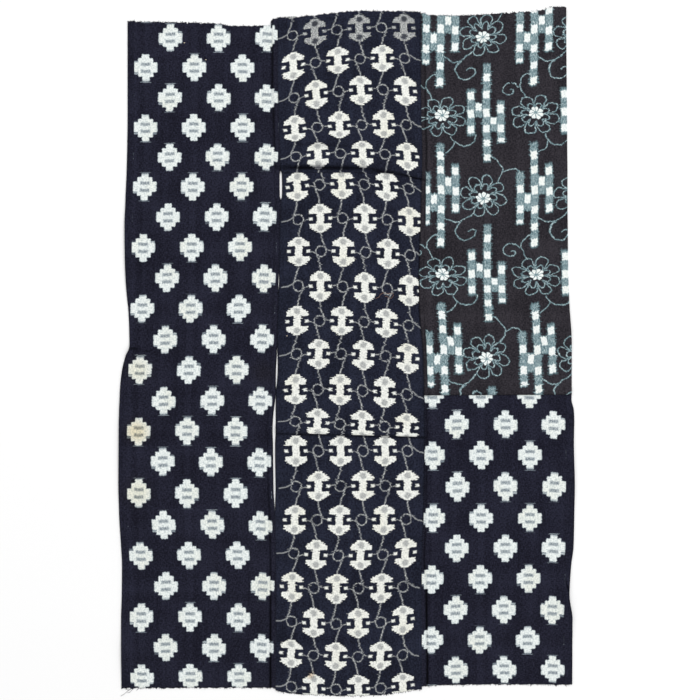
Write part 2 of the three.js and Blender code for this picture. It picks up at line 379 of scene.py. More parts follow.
def inside(distance, soft):
    """1 where a distance is negative and 0 where it is positive, with a soft change between."""
    return distance.math("MULTIPLY_ADD", -1 / soft, 0.5, clamp=True)


def box(x, y, half_width, half_height, soft=1.2):
    return inside((abs(x) - half_width).most(abs(y) - half_height), soft)


def scatter(index, seed):
    """A random number from -0.5 to 0.5 for each whole number, such as that of a yarn."""
    chance = index.tree.nodes.new("ShaderNodeTexWhiteNoise")
    chance.noise_dimensions = "1D"
    index.tree.links.new((index + 7.31 * seed).socket, chance.inputs["W"])
    return Field(chance.outputs["Value"]) - 0.5


def drift(along, wave, seed):
    """A slow wander between about -0.5 and 0.5 along a line."""
    wander = along.tree.nodes.new("ShaderNodeTexNoise")
    wander.noise_dimensions = "1D"
    wander.inputs["Scale"].default_value = 1.0
    wander.inputs["Detail"].default_value = 1.0
    along.tree.links.new(along.math("MULTIPLY_ADD", 1 / wave, 19.7 * seed).socket, wander.inputs["W"])
    return (Field(wander.outputs[0]) - 0.5) * 1.6


def mottle(place, u_size, v_size, seed):
    """Uneven patches of the given size in millimetres, between about -0.5 and 0.5."""
    tree = place.node.id_data
    sized = tree.nodes.new("ShaderNodeMapping")
    sized.inputs["Scale"].default_value = (1 / (u_size * MM), 1 / (v_size * MM), 1.0)
    sized.inputs["Location"].default_value = (0.0, 11.3 * seed, 0.0)
    patches = tree.nodes.new("ShaderNodeTexNoise")
    patches.noise_dimensions = "2D"
    patches.inputs["Scale"].default_value = 1.0
    patches.inputs["Detail"].default_value = 1.0
    tree.links.new(place, sized.inputs["Vector"])
    tree.links.new(sized.outputs[0], patches.inputs["Vector"])
    return (Field(patches.outputs[0]) - 0.5) * 1.6


def vector_math(tree, operation, *values, scale=None):
    """A Vector Math node. A value is a socket or a tuple, and scale is a field."""
    node = tree.nodes.new("ShaderNodeVectorMath")
    node.operation = operation
    for slot, value in zip(node.inputs, values):
        if isinstance(value, tuple):
            slot.default_value = value
        else:
            tree.links.new(value, slot)
    if scale is not None:
        tree.links.new(scale.socket, node.inputs["Scale"])
    return node


def distance_to_line(x, y, points):
    """The distance to a bent line, given by its points."""
    tree = x.tree
    joined = tree.nodes.new("ShaderNodeCombineXYZ")
    tree.links.new(x.socket, joined.inputs[0])
    tree.links.new(y.socket, joined.inputs[1])
    nearest = None
    for (ax, ay), (bx, by) in zip(points, points[1:]):
        reach = (bx - ax) ** 2 + (by - ay) ** 2
        from_start = vector_math(tree, "SUBTRACT", joined.outputs[0], (ax, ay, 0.0)).outputs[0]
        step = ((bx - ax) / reach, (by - ay) / reach, 0.0)
        share = Field(vector_math(tree, "DOT_PRODUCT", from_start, step).outputs["Value"]).clamped()
        back = (ax - bx, ay - by, 0.0)
        slid_back = vector_math(tree, "SCALE", back, scale=share).outputs[0]
        offset = vector_math(tree, "ADD", from_start, slid_back).outputs[0]
        away = Field(vector_math(tree, "LENGTH", offset).outputs["Value"])
        nearest = away if nearest is None else nearest.least(away)
    return nearest


# %% [markdown]
# ## Lozenge cloth
# The stepped lozenge is the plainest kasuri motif: a short bound stretch of yarn, a longer one and
# the longest, then back again. It is the union of three boxes, with two dashes in its middle
# where the weft is dyed and the white warp shows alone.

# %% Stepped lozenges in staggered rows
LOZENGE_PITCH, LOZENGE_ROW = 103.1, 64.8
LOZENGE_STEPS = [  # half width, half height, and how far a step may be woven off its row
    (7.7, 29.3, 0.0), (16.0, 20.1, 2.0), (25.2, 10.9, 3.4),
]
LOZENGE_CORNER = 2.4
LOZENGE_DASH, LOZENGE_DASH_OUT = (10.0, 3.3), 7.7
LOZENGE_BAND = (26.0, 154.0)  # middle and half width of the band of warps that are patterned


def rounded_box(across, up, half_width, half_height, corner):
    """How far a point is from a box with rounded corners, negative inside it."""
    past_side = (across - (half_width - corner)).most(0.0)
    past_end = (up - (half_height - corner)).most(0.0)
    return length_of(past_side, past_end) - corner


def lozenges(u, v, yarns):
    row = (v * (-1 / LOZENGE_ROW)).math("ROUND")
    even = row.math("FLOORED_MODULO", 2.0).taken_from(1.0)
    staggered = even.math("MULTIPLY_ADD", LOZENGE_PITCH / 2, u)
    motif = (staggered * (1 / LOZENGE_PITCH)).math("ROUND").math("MULTIPLY_ADD", 5.0, row * 3.0)
    x = staggered.repeated(LOZENGE_PITCH) + scatter(motif, 1) * 1.6
    y = row.math("MULTIPLY_ADD", LOZENGE_ROW, v) + scatter(motif, 2) * 1.6
    x = x + yarns["weft_shift"] + y * scatter(motif, 4) * 0.06
    y = y + yarns["warp_shift"]
    across = abs(x)
    bluish = ((across - LOZENGE_STEPS[-1][0]) * (-1 / 3.5)).clamped() * 0.2 + 0.8
    tone = None
    for number, (half_width, half_height, stray) in enumerate(LOZENGE_STEPS):
        up = abs(y + scatter(motif, 6 + number) * stray)
        end = rounded_box(across + yarns["weft_end"], up, half_width, half_height, LOZENGE_CORNER)
        step = inside(end, 2.0)
        tone = step if tone is None else tone.most(step)
    up = abs(y)
    dash = box(x, up - LOZENGE_DASH_OUT, *LOZENGE_DASH, 3.0)
    dyed = dash * (yarns["streaked"] + yarns["patchy"]).math("MULTIPLY_ADD", 0.4, 0.52, clamp=True)
    half_of_it = y.math("SIGN") + motif * 3.0
    quarter = x.math("SIGN") * 0.3 + half_of_it
    tip = ((up - 24.0) * (1 / 6.0)).clamped() * (scatter(half_of_it, 3) + 0.35).most(0.0)
    tone = tone * bluish * dyed.taken_from(1.0) * tip.math("MULTIPLY_ADD", -0.9, 1.0)
    shoulder = inside(across - 24.2, 2.0) * inside(abs(up - 12.6) - 2.0, 1.6)
    wisp = inside(across - 11.0, 4.0) * inside(abs(up - 31.0) - 0.7, 1.2)
    shoulder = shoulder * (scatter(quarter, 5) * 1.5).clamped()
    stray_weft = shoulder.most(wisp * (scatter(half_of_it, 9) + 0.1).clamped())
    band_middle, band_half = LOZENGE_BAND
    return tone.most(stray_weft) * inside(abs(u - band_middle) - band_half, 1.0)


# %% [markdown]
# ## Spool cloth
# Its motif is a thread winder: two domed caps on a neck, a square bit on each side, and a wavy
# thread that runs over a ring to the next winder below. The left and right halves of the loom
# width mirror each other column by column, so one motif is drawn once and used twice.

# %% Spools, rings and threads
SPOOL_COLUMN, SPOOL_ROW = 47.5, 71.4
SPOOLS_TO = 118.0  # a family has no spools beyond this distance on its mirror image's side
THREADS_TO = 130.0  # how far the outermost rings and threads reach
CAP_HALF, CAP_FOOT, CAP_FULL, CAP_TIP = 22.4, 10.9, 19.5, 30.8
CAP_NARROWS, CAP_STEP = 17.5, 3.4  # how much narrower the tip is, and the height of a step
NECK_HALF = 7.7
EYE_OUT, EYE_RADIUS = 20.6, 6.6
BIT_OUT, BIT_HALF = 20.7, (3.9, 3.1)
RING_RADIUS, RING_LINE = 11.0, 1.25
THREAD_OUT, THREAD_FROM, THREAD_TO = 9.4, 7.7, 41.7
LINK_TO = 27.0
TAIL_COLUMN = 2.5 * SPOOL_COLUMN  # the outermost columns, whose rings have a loose tail
LEFT_TAIL = [(-11.5, 4.0), (-23.0, -1.0), (-35.0, -3.0)]
RIGHT_TAIL = [(12.0, 7.5), (22.0, -0.5), (34.0, -5.0)]


def spool_family(x, y, first, yarns):
    """One column's spools at y = 0, with rings and threads halfway between them."""
    x = x.repeated(2 * SPOOL_COLUMN)
    from_spool = y.repeated(2 * SPOOL_ROW)
    from_ring = (y + SPOOL_ROW).repeated(2 * SPOOL_ROW)
    out = abs(from_spool)
    stepped = (out * (1 / CAP_STEP)).math("FLOOR").math("MULTIPLY_ADD", CAP_STEP, CAP_STEP / 2)
    narrowed = ((stepped - CAP_FULL) * (1 / (CAP_TIP - CAP_FULL))).clamped()
    side = abs(x) + narrowed * CAP_NARROWS + yarns["weft_end"]
    cap = inside(side - CAP_HALF, 0.9).least(
        inside(abs(out - (CAP_FOOT + CAP_TIP) / 2) - (CAP_TIP - CAP_FOOT) / 2, 1.0)
    )
    neck = box(x, from_spool, NECK_HALF, CAP_FOOT + 1)
    eye = inside(length_of(x, out - EYE_OUT) - EYE_RADIUS, 3.4)
    eye_depth = first.math("MULTIPLY_ADD", 0.45, 0.4) + yarns["patchy"] * 0.25
    paled = first.math("MULTIPLY_ADD", -0.5, 1.0) + (first * yarns["patchy"]) * 0.9
    solid = cap.most(neck) * (eye * eye_depth).taken_from(1.0) * paled
    bit = box(abs(x) - BIT_OUT, from_spool, *BIT_HALF, 2.0) * paled
    ring = inside(abs(length_of(x, from_ring) - RING_RADIUS) - RING_LINE, 1.4)

    far = abs(from_ring)
    nearing = far.math("MULTIPLY_ADD", -1 / 34.0, THREAD_TO / 34.0, clamp=True).math("POWER", 1.6)
    bend = nearing * THREAD_OUT * from_ring.math("SIGN")
    middle, half = (THREAD_FROM + THREAD_TO) / 2, (THREAD_TO - THREAD_FROM) / 2
    thread = inside(abs(x + bend) - RING_LINE - 0.2, 2.0).least(inside(abs(far - middle) - half, 1.0))

    aside = abs(x)
    leaving = aside.math("MULTIPLY_ADD", -1 / 10.6, 1 + THREAD_OUT / 10.6, clamp=True)
    rise = (leaving * leaving * 5.3 + 1.1) * x.math("SIGN")
    middle, half = (THREAD_OUT + LINK_TO) / 2, (LINK_TO - THREAD_OUT) / 2
    link = inside(abs(from_ring + rise) - RING_LINE + 0.3, 1.4)
    link = link.least(inside(abs(aside - middle) - half, 1.0))
    dotted = (yarns["patchy"] + yarns["grainy"]).math("MULTIPLY_ADD", 0.5, 0.43, clamp=True)
    return solid.most(bit), ring.most(thread).most(link) * dotted


def spools(u, v, yarns):
    x = u + yarns["weft_shift"]
    y = v + yarns["warp_shift"]
    first = inside(v.taken_from(-1.5 * SPOOL_ROW), 2.0)
    left_solid, left_lines = spool_family(x + SPOOL_COLUMN / 2, y, first, yarns)
    mirrored = x.math("MULTIPLY_ADD", -1.0, SPOOL_COLUMN / 2)
    right_solid, right_lines = spool_family(mirrored, y + SPOOL_ROW, first, yarns)
    left_solid = left_solid * inside(x - SPOOLS_TO, 1.0)
    right_solid = right_solid * inside(x * -1.0 - SPOOLS_TO, 1.0)
    lines = left_lines.most(right_lines) * inside(abs(x) - THREADS_TO, 1.0)
    left_y, right_y = (y + SPOOL_ROW).repeated(2 * SPOOL_ROW), y.repeated(2 * SPOOL_ROW)
    tail = distance_to_line(x + TAIL_COLUMN, left_y, LEFT_TAIL)
    tail = tail.least(distance_to_line(x - TAIL_COLUMN, right_y, RIGHT_TAIL))
    lines = lines.most(inside(tail - RING_LINE, 1.6) * 0.42)
    return left_solid.most(right_solid).most(lines)


# %% [markdown]
# ## Flower cloth
# Columns of hash signs and of outlined flowers take turns, and scrolls tie them together. The
# signs are bars of white and half-tone blocks. A flower is drawn in one folded slice of an eighth,
# because all its petals are alike, and its lines are half-tone. Every second column mirrors its
# hash sign and has scrolls of its own.

# %% Hash signs
FLOWER_COLUMN, FLOWER_ROW = 99.7, 171.0
BAR_HALF, BRIDGE_HALF = 7.8, 7.4
BLOCK_SPREAD = 1.2  # the white creeps this far beyond each end of its block
# A bar: its x, its lower and upper end, then y and half height of each white block
LOW_SIGN_BARS = [
    (-33.0, -47.0, 51.0, [(37.0, 7.6), (-1.0, 8.0), (-34.5, 7.2)]),
    (0.0, -103.5, 104.4, [(75, 7.6), (38.5, 7.4), (-0.5, 8.2), (-34, 7.2), (-64, 6.2), (-94.5, 6.2)]),
    (30.5, -64.0, 24.3, [(7.5, 8.4), (-34.2, 7.4), (-59.0, 4.4)]),
]
HIGH_SIGN_BARS = [
    (30.7, -65.0, 46.0, [(10.0, 7.6), (-33.0, 7.8), (-61.0, 4.6)]),
    (0.0, -115.0, 107.0, [(81, 8.0), (51, 7.4), (8.3, 8.8), (-33.7, 7.6), (-70.3, 6.8), (-104.4, 8.0)]),
    (-31.0, -40.0, 63.7, [(48.5, 7.4), (5.5, 8.0), (-30.2, 8.2)]),
]
# A bridge: its x, its lower and upper end, then y and half height of its white block
LOW_SIGN_BRIDGES = [(-16.5, -8.5, 22.5, [(13.6, 7.4)]), (15.5, -38.0, -8.5, [(-15.5, 6.6)])]
HIGH_SIGN_BRIDGES = [(-15.4, 0.0, 37.5, [(27.0, 8.4)]), (15.2, -37.0, 1.7, [(-11.0, 8.8)])]


def hash_sign(x, y, yarns, bars, bridges):
    """Bars of half-tone, where one set of yarns is undyed, and white blocks, where both are."""
    half_tone = (yarns["streaked"] + yarns["patchy"] * 0.4).math("MULTIPLY_ADD", 0.7, 0.4, clamp=True)
    up = y + yarns["warp_end"]
    ragged = x + yarns["weft_shift"]
    tone = None
    for half_width, fade, strips in ((BAR_HALF, 6.0, bars), (BRIDGE_HALF, 2.6, bridges)):
        for middle, low, high, blocks in strips:
            aside = abs(ragged - middle) - half_width
            tall = inside(abs(up - (low + high) / 2) - (high - low) / 2, fade)
            strip = inside(aside, 1.6).least(tall)
            white = None
            for block, block_half in blocks:
                lit = inside(abs(up - block) - block_half - BLOCK_SPREAD, 3.0)
                white = lit if white is None else white.most(lit)
            shown = strip * half_tone.most(white * inside(aside + 0.6, 2.2))
            shown = shown.most(inside(aside - yarns["hair"], 1.2).least(tall) * 0.22)
            tone = shown if tone is None else tone.most(shown)
    return tone


# %% Flowers and scrolls
PETALS = 8
LINE_HALF = 1.2
OUTER_PETAL = (37.3, 11.7, 0.92, 0.18, 21.0)  # centre, half width, blunt end, taper, root
INNER_PETAL = (22.0, 6.4, 0.8, 0.1, 14.0)
ROSETTE, ROSETTE_LOBE, ROSETTE_TALL = 12.0, 3.6, 0.85


def petal_lines(along, aside, centre, half_width, blunt, taper, root):
    """The outline of one ring of petals, in the folded slice of one petal."""
    wide = (along.taken_from(centre).most(0.0)).math("MULTIPLY_ADD", -taper, half_width)
    past = (along - centre).most(0.0) * blunt
    line = inside(abs(length_of(past, aside) - wide) - LINE_HALF, 1.3)
    return line * inside(along.taken_from(root), 1.0)


def slices(x, y, turned):
    """The distance from the middle, and the angle from the middle of the nearest slice."""
    angle = (y.math("ARCTAN2", x) - turned).repeated(2 * math.pi / PETALS)
    return length_of(x, y), angle


def flower(x, y, turned, wide, tall, lift):
    """The outlines of the petals, and the white rosette in their middle."""
    reach, angle = slices(x * (1 / wide), (y - lift) * (1 / tall), turned)
    along, aside = reach * angle.math("COSINE"), abs(reach * angle.math("SINE"))
    outline = petal_lines(along, aside, *OUTER_PETAL).most(petal_lines(along, aside, *INNER_PETAL))
    reach, angle = slices(x, y * (1 / ROSETTE_TALL), turned)
    lobe = abs((angle * (PETALS / 2)).math("COSINE"))
    rosette = inside(reach - ROSETTE - lobe * ROSETTE_LOBE, 1.2)
    cleft = inside(lobe * reach - 3.0, 2.4)
    return outline, rosette * cleft.math("MULTIPLY_ADD", -0.62, 1.0)


def arc(x, y, centre_x, centre_y, radius, hidden_x, hidden_y):
    """A ring that is open on the side that (hidden_x, hidden_y) points to."""
    dx, dy = x - centre_x, y - centre_y
    line = inside(abs(length_of(dx, dy) - radius) - LINE_HALF, 1.3)
    return line * inside(dx * hidden_x + dy * hidden_y - 0.55 * radius, 1.0)


def with_cut_corners(points):
    """The same bent line with each corner cut once, so that it turns more softly."""
    cut = [points[0]]
    for (ax, ay), (bx, by), (cx, cy) in zip(points, points[1:], points[2:]):
        cut.append((bx + 0.25 * (ax - bx), by + 0.25 * (ay - by)))
        cut.append((bx + 0.25 * (cx - bx), by + 0.25 * (cy - by)))
    return cut + [points[-1]]


# The scrolls of a family, as lines of points from its flower's middle
RISING_SCROLLS = [
    [(9.9, 89.5), (25.1, 83.4), (39.0, 70.0), (43.5, 54.5), (31.2, 34.7)],
    [(43.5, 54.5), (52.5, 61.5), (66.0, 62.5), (79.0, 55.0), (82.0, 46.0)],
    [(-21.3, -31.5), (-46.9, -52.0), (-65.0, -52.0), (-85.2, -40.5)],
    [(-50.0, -52.0), (-57.0, -62.0), (-58.5, -70.0)],
    [(-15.0, -70.3), (-25.5, -65.0), (-31.9, -71.3)],
]
RISING_SPIRAL = (-36.2, -70.3, 21.0, 0.5, 0.87)
HANGING_SCROLLS = [
    [(19.8, 33.0), (34.0, 57.5), (33.0, 72.4), (21.3, 84.0), (8.5, 85.2)],
    [(36.2, 57.5), (43.0, 64.0), (52.0, 65.6)],
    [(46.5, 43.5), (46.8, 51.0), (53.2, 50.2)],
    [(-20.2, -46.9), (-26.6, -57.5), (-42.6, -66.5), (-59.6, -65.0), (-71.0, -53.3), (-72.0, -44.0)],
    [(-26.6, -57.5), (-22.4, -72.0), (-6.4, -81.0)],
]
HANGING_SPIRAL = (56.4, 52.2, 12.8, -0.87, 0.5)
WANDER = 5.0  # how far a woven line strays from the drawn one


def flower_family(x, y, yarns, sign, flower_place, petals, scrolls, spiral):
    """One column: hash signs at y = 0, flowers halfway between them, and their scrolls."""
    flower_x, flower_y = flower_place
    tone = hash_sign(x.repeated(2 * FLOWER_COLUMN), y.repeated(2 * FLOWER_ROW), yarns, *sign)
    wander_x, wander_y = yarns["wander"]
    from_flower_x = (x - flower_x).repeated(2 * FLOWER_COLUMN) + yarns["fine_shift"] + wander_x
    from_flower_y = (y - flower_y).repeated(2 * FLOWER_ROW) + yarns["warp_shift"] + wander_y
    outline, rosette = flower(from_flower_x, from_flower_y, *petals)
    nearest = None
    for points in scrolls:
        away = distance_to_line(from_flower_x, from_flower_y, with_cut_corners(points))
        nearest = away if nearest is None else nearest.least(away)
    lines = inside(nearest - LINE_HALF, 1.3).most(arc(from_flower_x, from_flower_y, *spiral))
    dotted = (yarns["patchy"] + yarns["grainy"]).math("MULTIPLY_ADD", 0.5, 0.44, clamp=True)
    return tone.most(rosette).most(lines.most(outline) * dotted)


# Turn, width, height and lift of the petals
RISING_PETALS, HANGING_PETALS = (1.36, 0.99, 0.9, 4.0), (1.09, 1.04, 0.84, -4.0)


# Two stretches where the cloth's left edge is tucked in: v of the middle, half length, hidden up to u
TUCKS = [(-321.5, 93.5, -131.9), (-696.0, 74.0, -136.4)]


def flowers(u, v, yarns):
    low = flower_family(
        u, v + FLOWER_ROW, yarns, (LOW_SIGN_BARS, LOW_SIGN_BRIDGES), (-9.7, -179.5),
        RISING_PETALS, RISING_SCROLLS, RISING_SPIRAL,
    )
    mirrored = u.math("MULTIPLY_ADD", -1.0, FLOWER_COLUMN)
    high = flower_family(
        mirrored, v, yarns, (HIGH_SIGN_BARS, HIGH_SIGN_BRIDGES), (-4.8, -173.2),
        HANGING_PETALS, HANGING_SCROLLS, HANGING_SPIRAL,
    )
    tone = low.most(high)
    for middle, half, hidden_to in TUCKS:
        hidden = inside(u - hidden_to, 1.0) * inside(abs(v - middle) - half, 4.0)
        tone = tone * hidden.taken_from(1.0)
    return tone


# %% [markdown]
# ## The cloth itself
# The yarns of kasuri never line up quite as they were bound, so every weft and every warp is
# shifted by a little chance of its own. That gives the feathered edges which tell woven kasuri
# from print. Under it lie a plain weave, faint streaks of the warp, and a little wear.

# %% The cloth material
YARN = 0.55  # pitch of the yarns


def yarn_chances(place, u, v, reach):
    """The chance shifts and streaks of the yarns at a point of the cloth, in millimetres."""
    weft = (v * (1 / YARN)).math("FLOOR")
    pair = (v * (1 / (2.4 * YARN))).math("FLOOR")
    bundle = (v * (1 / (5 * YARN))).math("FLOOR")
    warp = (u * (1 / YARN)).math("FLOOR")
    group = (u * (1 / (4 * YARN))).math("FLOOR")
    strays = scatter(pair, 1).math("GREATER_THAN", 0.44) * scatter(pair, 2) * (4.0 * reach)
    wander_x, wander_y = mottle(place, 26.0, 22.0, 8), mottle(place, 22.0, 26.0, 9)
    own = scatter(weft, 3) * (0.6 * reach) + scatter(bundle, 4) * reach
    return {
        "weft_shift": own + drift(v, 16.0, 1) * (0.6 * reach) + strays,
        "weft_end": scatter(bundle, 5) * (1.2 * reach) + scatter(weft, 6) * (0.6 * reach),
        "hair": (scatter(pair, 11) - 0.12).most(0.0) * 12.0,
        "fine_shift": own * 0.6 + drift(v, 9.0, 2) * 1.2,
        "warp_shift": scatter(warp, 7) * 0.7 + scatter(group, 8) * 1.1 + drift(u, 12.0, 3) * 0.9,
        "warp_end": scatter(warp, 9) * 1.6 + scatter(group, 10) * 3.0 + drift(u, 9.0, 4) * 2.4,
        "streaked": mottle(place, 0.9, 7.0, 1) + mottle(place, 2.6, 4.0, 2) * 0.5,
        "patchy": mottle(place, 2.4, 1.5, 3) * 1.3,
        "grainy": mottle(place, 4.0, 4.6, 10) * 1.2,
        "wander": (wander_x * WANDER, wander_y * WANDER),
    }


def mix_colours(tree, factor, first, second, blend="MIX"):
    """A colour mixed from two, each a socket or a tuple."""
    node = tree.nodes.new("ShaderNodeMix")
    node.data_type = "RGBA"
    node.blend_type = blend
    tree.links.new(factor.socket, node.inputs[0])
    for slot, colour in ((node.inputs[6], first), (node.inputs[7], second)):
        if isinstance(colour, tuple):
            slot.default_value = (*colour, 1.0)
        else:
            tree.links.new(colour, slot)
    return node.outputs[2]


def to_linear(red, green, blue):
    """A colour as seen in the photo, from 0 to 255, as the linear colour that Blender takes."""
    channels = (x / 255 for x in (red, green, blue))
    return tuple(x / 12.92 if x <= 0.04045 else ((x + 0.055) / 1.055) ** 2.4 for x in channels)


SHADOW = (0.07, 0.07, 0.1)  # what is left of a colour at the bottom of a crease
GLOW = 0.8  # how much less a groove darkens white cloth, which scatters light into it


def cloth_material(name, motifs, ground, faded, half_tone, white, slub, aged, reach, stains=()):
    """A kasuri cotton, from the colours of its yarns and the places of its stains."""
    material = bpy.data.materials.new(name)
    material.use_nodes = True
    tree = material.node_tree
    shader = tree.nodes["Principled BSDF"]
    unrolled = tree.nodes.new("ShaderNodeUVMap")
    unrolled.uv_map = "cloth"
    place = unrolled.outputs[0]
    split = tree.nodes.new("ShaderNodeSeparateXYZ")
    tree.links.new(place, split.inputs[0])
    u, v = Field(split.outputs[0]) * (1 / MM), Field(split.outputs[1]) * (1 / MM)
    yarns = yarn_chances(place, u, v, reach)
    tone = motifs(u, v, yarns)

    weave = (u * (math.pi / YARN)).math("SINE") * (v * (math.pi / YARN)).math("SINE")
    mixed = tone.least(tone.taken_from(1.0))
    cover = (mixed * weave).math("MULTIPLY_ADD", 0.8, tone, clamp=True)
    fleck = mottle(place, 1.6, 6.5, 4) + mottle(place, 6.5, 1.6, 5)
    speck = mottle(place, 3.4, 3.0, 11)
    streak = drift(u, 14.0, 5) * 0.35 + drift(v, 31.0, 6) * 0.25 + fleck * 0.8 + speck
    streak = streak + mottle(place, 60.0, 90.0, 6) * 0.5
    dyed = mix_colours(tree, streak.math("MULTIPLY_ADD", 0.9, 0.42, clamp=True), ground, faded)
    uneven = (fleck + speck).math("MULTIPLY_ADD", 0.8, 0.34, clamp=True)
    undyed = mix_colours(tree, uneven, white, slub)
    yellowing = mottle(place, 70.0, 110.0, 7).math("MULTIPLY_ADD", 1.6, 0.1, clamp=True)
    undyed = mix_colours(tree, yellowing, undyed, aged, "MULTIPLY")
    colour = mix_colours(tree, (cover * 2.0).clamped(), dyed, half_tone)
    colour = mix_colours(tree, cover.math("MULTIPLY_ADD", 2.0, -1.0, clamp=True), colour, undyed)

    spot = tree.nodes.new("ShaderNodeTexCoord")
    for (stain_x, stain_y), radius, tint in stains:
        middle = (stain_x * MM, stain_y * MM, 0.0)
        away = vector_math(tree, "DISTANCE", spot.outputs["Object"], middle).outputs["Value"]
        strength = inside(Field(away) * (1 / MM) - radius, 1.2 * radius)
        colour = mix_colours(tree, strength, colour, tint, "MULTIPLY")
    # Painted shade in the creases: the crease attribute darkens the colour towards SHADOW.
    trough = tree.nodes.new("ShaderNodeAttribute")
    trough.attribute_name = "crease"
    colour = mix_colours(tree, Field(trough.outputs["Fac"]).clamped(), colour, SHADOW, "MULTIPLY")
    # Painted shade along the seams and in the grooves beside them, weaker on white cloth.
    seam = tree.nodes.new("ShaderNodeAttribute")
    seam.attribute_name = "groove"
    shade = Field(seam.outputs["Fac"]) * cover.math("MULTIPLY_ADD", -GLOW, 1.0)
    colour = mix_colours(tree, shade.clamped(), colour, SHADOW, "MULTIPLY")
    # Painted shade of the weave: the colour darkens a little where the yarns dip between crossings.
    weave_shade = weave.math("MULTIPLY_ADD", 0.04, 0.96)
    colour = mix_colours(tree, weave_shade.taken_from(1.0), colour, (0.0, 0.0, 0.0))
    tree.links.new(colour, shader.inputs["Base Color"])

    bump = tree.nodes.new("ShaderNodeBump")
    bump.inputs["Strength"].default_value = 0.5
    bump.inputs["Distance"].default_value = 0.15 * MM
    tree.links.new((weave + fleck).socket, bump.inputs["Height"])
    tree.links.new(bump.outputs[0], shader.inputs["Normal"])
    shader.inputs["Roughness"].default_value = 0.92
    shader.inputs["Specular IOR Level"].default_value = 0.04
    shader.inputs["Sheen Weight"].default_value = 0.015
    shader.inputs["Sheen Roughness"].default_value = 0.6
    print(name, "has", len(tree.nodes), "nodes")
    return material


TAN, FAINT_TAN = to_linear(246, 231, 205), to_linear(251, 245, 232)
BROWN = to_linear(226, 207, 190)
LOZENGE_CLOTH = cloth_material(
    "lozenge_cloth", lozenges, ground=to_linear(22, 22, 33), faded=to_linear(44, 45, 61),
    half_tone=to_linear(144, 156, 165), white=to_linear(250, 255, 252), slub=to_linear(196, 207, 208),
    aged=to_linear(252, 249, 241), reach=0.7,
    stains=[
        ((-446.0, -172.0), 24.0, TAN), ((-446.0, -40.0), 26.0, FAINT_TAN),
        ((-448.0, -300.0), 28.0, FAINT_TAN), ((-176.0, -46.0), 24.0, FAINT_TAN),
    ],
)
SPOOL_CLOTH = cloth_material(
    "spool_cloth", spools, ground=to_linear(22, 24, 35), faded=to_linear(44, 48, 65),
    half_tone=to_linear(154, 157, 159), white=to_linear(253, 254, 247), slub=to_linear(205, 208, 204),
    aged=to_linear(253, 251, 244), reach=2.1, stains=[((-77.0, -688.0), 8.0, BROWN)],
)
FLOWER_CLOTH = cloth_material(
    "flower_cloth", flowers, ground=to_linear(33, 31, 36), faded=to_linear(60, 57, 63),
    half_tone=to_linear(124, 157, 165), white=to_linear(253, 255, 253), slub=to_linear(216, 227, 226),
    aged=to_linear(253, 252, 248), reach=1.7,
)

# %% [markdown]
# ## Cutting and laying a length
# Each length is a grid of points that is bent into place: its columns run round the turned-under
# hem, up over the edge and across the width, and its rows run along it. Solidify then gives the
# cloth its thickness. A cloth simulation would need the same hems and seams first and would not
# find the photo's own creases, so the folds are placed one by one.

# %% A length of cloth
CLOTH = 0.8  # thickness that shows
LAYER_FOOT, LAYER = 0.5, 1.35  # middle of the lowest layer, and the rise to the next one
HEM, HEM_FOOT = 12.0, 18.0  # cloth turned under, and where the cloth beside it reaches the floor
LAP, LAP_SLOPE, AIR = 12.0, 8.0, 0.35
STEP = 3.6  # spacing of the points, and a little more along the longest length
MOST_ROWS = 322  # a longer grid would pass 200,000 triangles with its two faces
EDGE_RADIUS = LAYER / 2
GROOVE = 2.4
SEAM_SHADE_TO, GROOVE_SHADE_TO = 3.6, 5.0  # how far the painted shade of each reaches
# Painted shade along the long seams and in the grooves beside them, where little light gets in.
LEFT_SHADES = [
    # y, painted shade of the seam, painted shade of the groove beside it
    (706, 0.3, 0.5), (620, 0.3, 0.75), (450, 0.35, 0.6), (400, 0.4, 0.3), (320, 0.4, 0.05),
    (200, 0.5, 0.1), (110, 0.5, 0.1), (14, 0.6, 0.1), (-160, 0.6, 0.2), (-340, 0.3, 0.5),
    (-400, 0.35, 0.6), (-551, 0.4, 0.9), (-600, 0.1, 1.0), (-721, 0.1, 1.0),
]
RIGHT_SHADES = [
    (720, 0.3, 0.0), (630, 0.3, 0.1), (600, 0.3, 0.4), (470, 0.35, 0.65), (400, 0.3, 0.6),
    (340, 0.5, 0.3), (290, 0.6, 0.2), (258, 0.9, 0.0), (70, 0.9, 0.0), (55, 0.7, 0.2),
    (10, 0.6, 0.3), (-5, 0.6, 0.1), (-90, 0.6, 0.1), (-97, 0.6, 0.5), (-250, 0.75, 0.5),
    (-340, 0.7, 0.5), (-444, 0.4, 0.7), (-500, 0.3, 0.8), (-551, 0.1, 1.0), (-713, 0.1, 1.0),
]
# y, distance of the groove from the edge of the cloth
LEFT_GROOVES = [(740, 10.0), (-740, 10.0)]
RIGHT_UPPER_GROOVES = [(740, 7.6), (-100, 7.6)]
RIGHT_LOWER_GROOVES = [(-90, 3.2), (-440, 3.2), (-500, 8.0), (-600, 9.6), (-640, 10.6), (-740, 10.6)]
SLIP = [(740, 5.5), (640, 5.0), (610, 3.0), (580, 0.0), (-740, 0.0)]  # y, how far the hem slipped up


def plain_layer(inset):
    """Height in layers of the right side beside a hem."""
    return 1 - min(max((inset - HEM) / (HEM_FOOT - HEM), 0.0), 1.0)


def creased_layer(inset, groove):
    """Like plain_layer, with a pressed groove beside the seam and a soft rise beyond it."""
    rise, reach = 0.9, 27.0  # in layers, and in millimetres
    if inset < groove:
        return 1 - 0.25 * swell((groove - inset) / 4)
    if inset < groove + GROOVE:
        return 1 - 0.9 * math.sin(math.pi * (inset - groove) / GROOVE)
    return rise * swell((inset - groove - GROOVE - 3) / reach)


